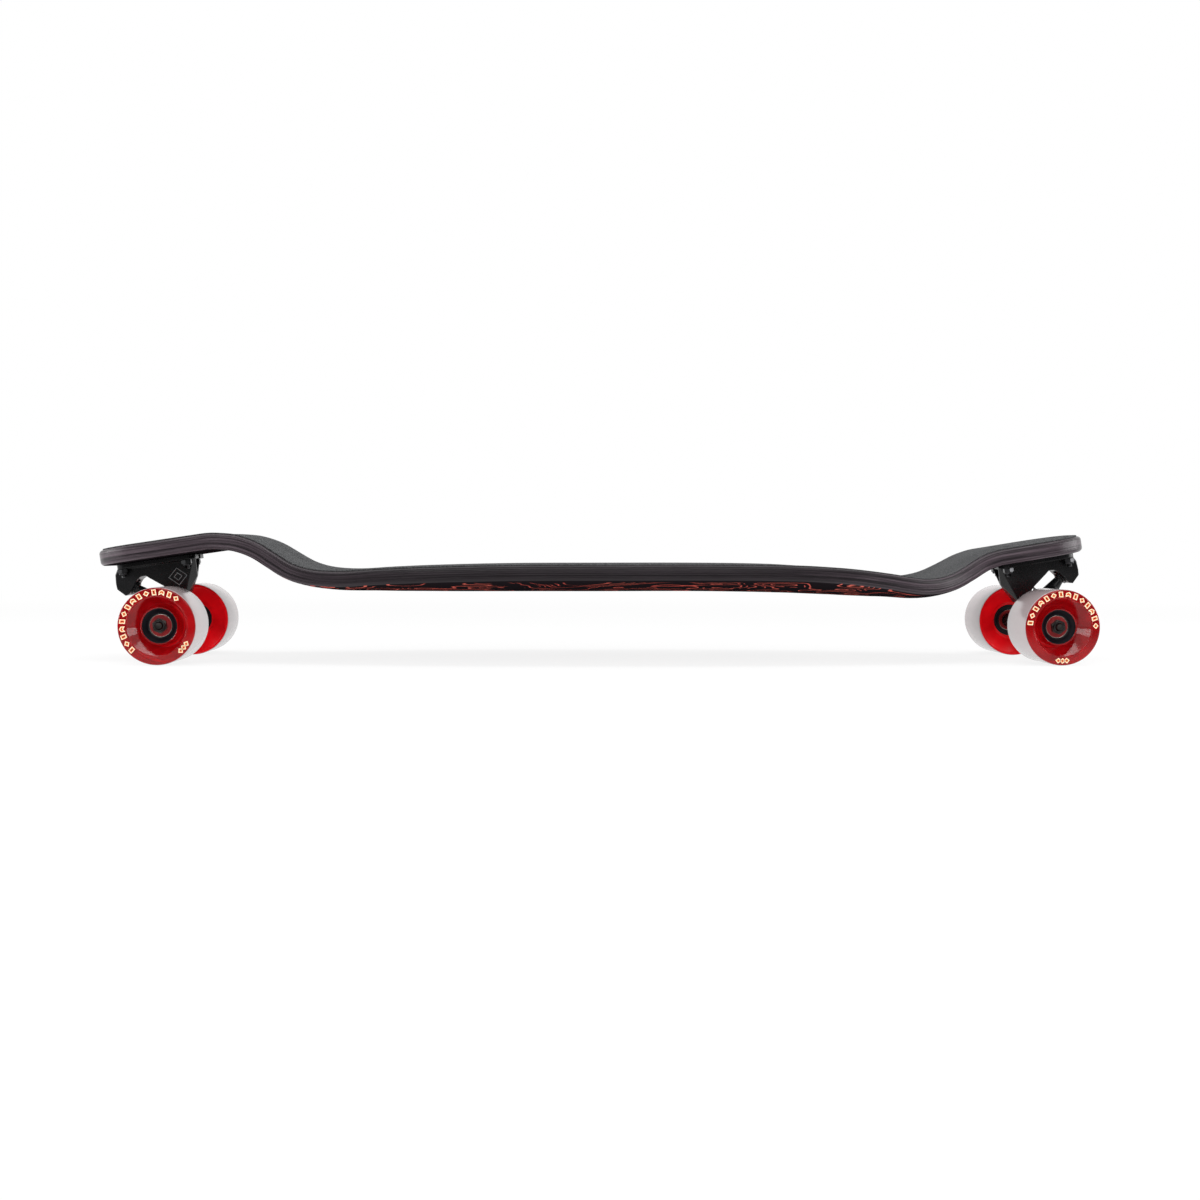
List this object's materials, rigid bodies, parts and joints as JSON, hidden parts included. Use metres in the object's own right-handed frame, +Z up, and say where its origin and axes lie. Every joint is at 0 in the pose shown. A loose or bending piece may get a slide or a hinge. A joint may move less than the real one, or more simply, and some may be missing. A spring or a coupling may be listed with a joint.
{
  "type": "longboard",
  "caption": "Drop-platform longboard: pressed ply deck with curved ends and grip tape, two steering trucks under the ends, and wide translucent wheels.",
  "frame": {"origin": "middle of the board's length and width, on the ground under the wheels", "axes": "+X towards the nose, +Y to the rider's left, +Z up"},
  "size_m": [0.9949, 0.246, 0.128],
  "materials": {
    "stained_ply": "dark stained maple ply, satin lacquer",
    "grip_grit": "charcoal grit on a cloth backing",
    "black_cast_metal": "satin black on cast metal",
    "bright_steel": "bright zinc plated",
    "dark_steel": "dark plated",
    "black_plastic": "moulded black core",
    "black_urethane": "smooth black urethane",
    "red_urethane": "glossy translucent red urethane"
  },
  "bodies": {
    "board": {"deck": "stained_ply", "grip_tape": "grip_grit", "rear_baseplate": "black_cast_metal", "rear_pivot_cup": "black_urethane", "rear_kingpin": "bright_steel", "rear_kingpin_nut": "bright_steel", "rear_board_washer": "bright_steel", "rear_board_bushing": "black_urethane", "rear_road_bushing": "black_urethane", "rear_road_washer": "bright_steel", "rear_bolt_1": "dark_steel", "rear_bolt_2": "dark_steel", "rear_bolt_3": "dark_steel", "rear_bolt_4": "dark_steel", "rear_bolt_nut_1": "dark_steel", "rear_bolt_nut_2": "dark_steel", "rear_bolt_nut_3": "dark_steel", "rear_bolt_nut_4": "dark_steel", "front_baseplate": "black_cast_metal", "front_pivot_cup": "black_urethane", "front_kingpin": "bright_steel", "front_kingpin_nut": "bright_steel", "front_board_washer": "bright_steel", "front_board_bushing": "black_urethane", "front_road_bushing": "black_urethane", "front_road_washer": "bright_steel", "front_bolt_1": "dark_steel", "front_bolt_2": "dark_steel", "front_bolt_3": "dark_steel", "front_bolt_4": "dark_steel", "front_bolt_nut_1": "dark_steel", "front_bolt_nut_2": "dark_steel", "front_bolt_nut_3": "dark_steel", "front_bolt_nut_4": "dark_steel"},
    "rear_hanger_body": {"rear_hanger": "black_cast_metal", "rear_axle": "dark_steel", "rear_left_axle_nut": "dark_steel", "rear_right_axle_nut": "dark_steel"},
    "rear_left_wheel": {"rear_left_tyre": "red_urethane", "rear_left_core": "black_plastic", "rear_left_outer_bearing": "bright_steel", "rear_left_inner_bearing": "bright_steel"},
    "rear_right_wheel": {"rear_right_tyre": "red_urethane", "rear_right_core": "black_plastic", "rear_right_outer_bearing": "bright_steel", "rear_right_inner_bearing": "bright_steel"},
    "front_hanger_body": {"front_hanger": "black_cast_metal", "front_axle": "dark_steel", "front_left_axle_nut": "dark_steel", "front_right_axle_nut": "dark_steel"},
    "front_left_wheel": {"front_left_tyre": "red_urethane", "front_left_core": "black_plastic", "front_left_outer_bearing": "bright_steel", "front_left_inner_bearing": "bright_steel"},
    "front_right_wheel": {"front_right_tyre": "red_urethane", "front_right_core": "black_plastic", "front_right_outer_bearing": "bright_steel", "front_right_inner_bearing": "bright_steel"}
  },
  "joints": [
    {"name": "rear_steering", "type": "hinge", "parent": "board", "child": "rear_hanger_body", "pos_m": [-0.43408, 0, 0.0533], "axis": [-0.8712, 0, 0.4909], "range_deg": [-15, 15], "stiffness_Nm_per_rad": 25, "deforming": ["rear_board_bushing", "rear_road_bushing"]},
    {"name": "front_steering", "type": "hinge", "parent": "board", "child": "front_hanger_body", "pos_m": [0.45543, 0, 0.05639], "axis": [0.6769, 0, 0.7361], "range_deg": [-15, 15], "stiffness_Nm_per_rad": 25, "deforming": ["front_board_bushing", "front_road_bushing"]},
    {"name": "rear_left_wheel_spin", "type": "hinge", "parent": "rear_hanger_body", "child": "rear_left_wheel", "pos_m": [-0.4215, 0.078, 0.037], "axis": [0, 1, 0], "continuous": true},
    {"name": "rear_right_wheel_spin", "type": "hinge", "parent": "rear_hanger_body", "child": "rear_right_wheel", "pos_m": [-0.4215, -0.078, 0.037], "axis": [0, 1, 0], "continuous": true},
    {"name": "front_left_wheel_spin", "type": "hinge", "parent": "front_hanger_body", "child": "front_left_wheel", "pos_m": [0.4485, 0.078, 0.037], "axis": [0, 1, 0], "continuous": true},
    {"name": "front_right_wheel_spin", "type": "hinge", "parent": "front_hanger_body", "child": "front_right_wheel", "pos_m": [0.4485, -0.078, 0.037], "axis": [0, 1, 0], "continuous": true}
  ]
}
